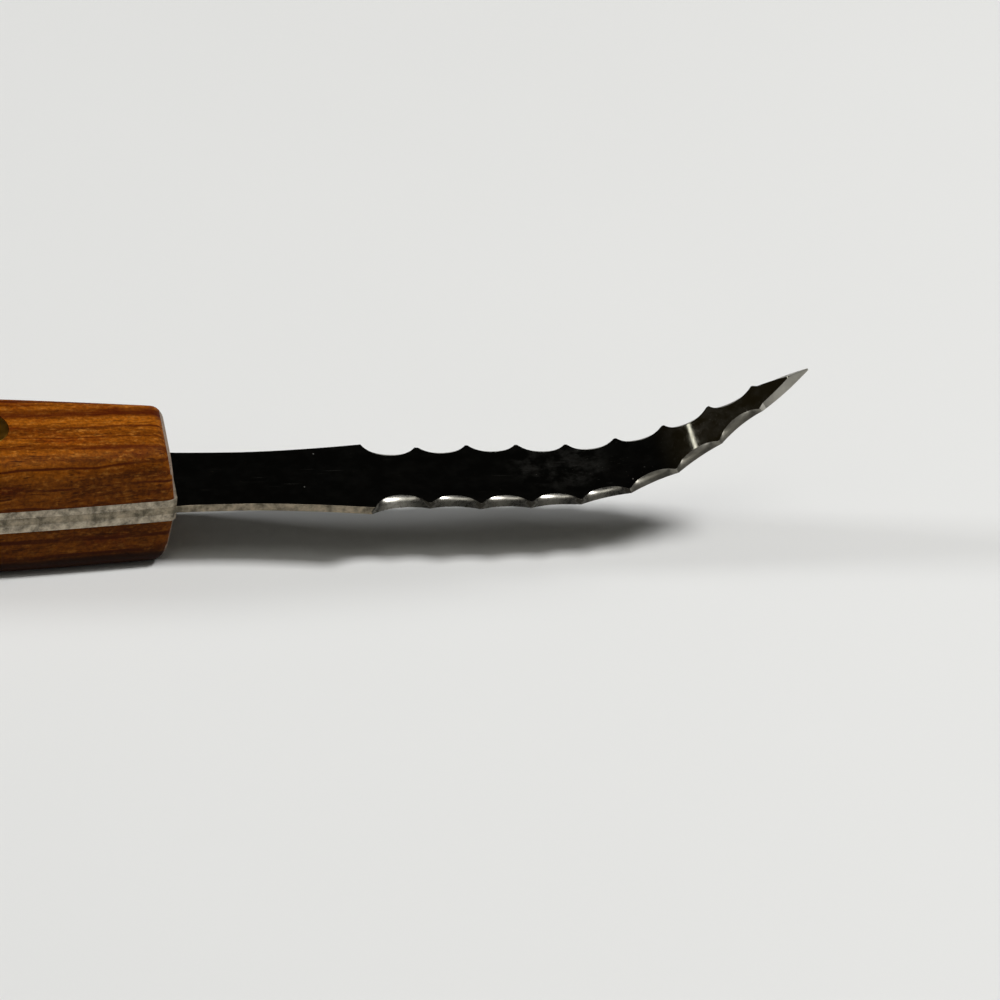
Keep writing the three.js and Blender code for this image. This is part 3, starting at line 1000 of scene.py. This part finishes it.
# %% Shapes of the scales
def scale_outline():
    """The handle's outline, run on straight past the front. It has no points near the front,
    so that the rounding there has long faces to run into."""
    first = 3
    narrowing = (handle_line[first][1] - handle_line[0][1]) / (handle_line[0][0] - handle_line[first][0])
    half = handle_line[0][1] - narrowing * run_on
    return [(handle_front + run_on, half), *handle_line[first:-first], (handle_front + run_on, -half)]


def round_front(wood, inner):
    """Round the front's edges over, fully at the top and little at the upright corners."""
    take(wood)
    weights = wood.data.attributes.new("bevel_weight_edge", "FLOAT", "EDGE")
    for edge in wood.data.edges:
        a, b = (wood.data.vertices[index].co for index in edge.vertices)
        height = abs((a.z + b.z) / 2 - inner) / scale_thickness
        on_front = min(a.x, b.x) > front_end
        if on_front and max(abs(a.z - inner), abs(b.z - inner)) > near:
            risen = min(max((height - growth_share) / (1 - growth_share), 0), 1)
            weights.data[edge.index].value = corner_weight + (1 - corner_weight) * risen
    rounding = wood.modifiers.new("rounding", "BEVEL")
    rounding.limit_method = "WEIGHT"
    rounding.width = front_radius
    rounding.segments = 6
    rounding.use_clamp_overlap = False
    bpy.ops.object.modifier_apply(modifier=rounding.name)


# %% Scales
def make_scale(name, inner, outer, node):
    """A scale between its inner and its outer height."""
    bottom = min(inner, outer)
    out = 1 if outer > inner else -1
    wood = plate(name, scale_outline(), bottom, scale_thickness)
    pick_edges(wood, lambda a, b: abs(a.z - outer) < near and abs(b.z - outer) < near
               and min(a.x, b.x) < handle_front + run_on - MM)
    bpy.ops.mesh.bevel(offset=long_edge_radius, segments=8, profile=0.5, affect="EDGES",
                       clamp_overlap=False)
    edit(wood, everything=True)
    facing = Vector((scale_thickness, 0, out * front_slope)).normalized()
    bpy.ops.mesh.bisect(plane_co=(handle_front - front_setback, 0, inner), plane_no=facing,
                        use_fill=True, clear_outer=True)
    round_front(wood, inner)
    for x in rivet_places:
        drill(wood, x, hole_diameter, bottom - overrun, bottom + scale_thickness + overrun)
        seat = outer - out * head_thickness
        past = outer + out * overrun
        drill(wood, x, head_diameter + seat_clearance, min(seat, past), max(seat, past))
    for finish in (hardwood, end_grain):
        wood.data.materials.append(finish)
    for face in wood.data.polygons:
        on_end = face.normal.x > end_grain_facing and face.center.x > front_end - front_radius
        face.material_index = 1 if on_end else 0
    complete(wood, node)


make_scale("upper_scale_wood", blade_top + liner_thickness, handle_top, "upper_scale")
make_scale("lower_scale_wood", blade_bottom - liner_thickness, 0, "lower_scale")

# %% [markdown]
# ## The rivets
#
# Each rivet has two turned halves: a socket with a tube, and a stud that is pressed into it.
# Only the flush heads show. They are turned pieces, so each is a stack of rings too, as a
# turner works along the bar.

# %% Rivets
stud_diameter = 2.8 * MM
press_clearance = 0.04 * MM
bore_diameter = stud_diameter + press_clearance
bore_floor = 1.1 * MM
end_gap = 0.5 * MM
rim_break = 0.12 * MM


def make_rivet(number, x):
    """Both halves of a rivet."""
    tube_top = handle_top - head_thickness - end_gap
    floor = head_thickness + bore_floor
    socket_steps = [(head_diameter, 0), (head_diameter, head_thickness), (tube_diameter, head_thickness),
                    (tube_diameter, tube_top), (bore_diameter, tube_top), (bore_diameter, floor)]
    stud_steps = [(head_diameter, handle_top), (head_diameter, handle_top - head_thickness),
                  (stud_diameter, handle_top - head_thickness), (stud_diameter, floor + end_gap)]
    for kind, face_height, steps in (("socket", 0, socket_steps), ("stud", handle_top, stud_steps)):
        node = f"rivet_{number}_{kind}"
        half = stack(node + "_half", [((x, 0), wide / 2, z) for wide, z in steps])
        pick_edges(half, lambda a, b: max(abs(a.z - face_height), abs(b.z - face_height)) < near)
        bpy.ops.mesh.bevel(offset=rim_break, segments=3, affect="EDGES")
        half.data.materials.append(tarnished_brass)
        complete(half, node)


for number, x in enumerate(rivet_places, start=1):
    make_rivet(number, x)
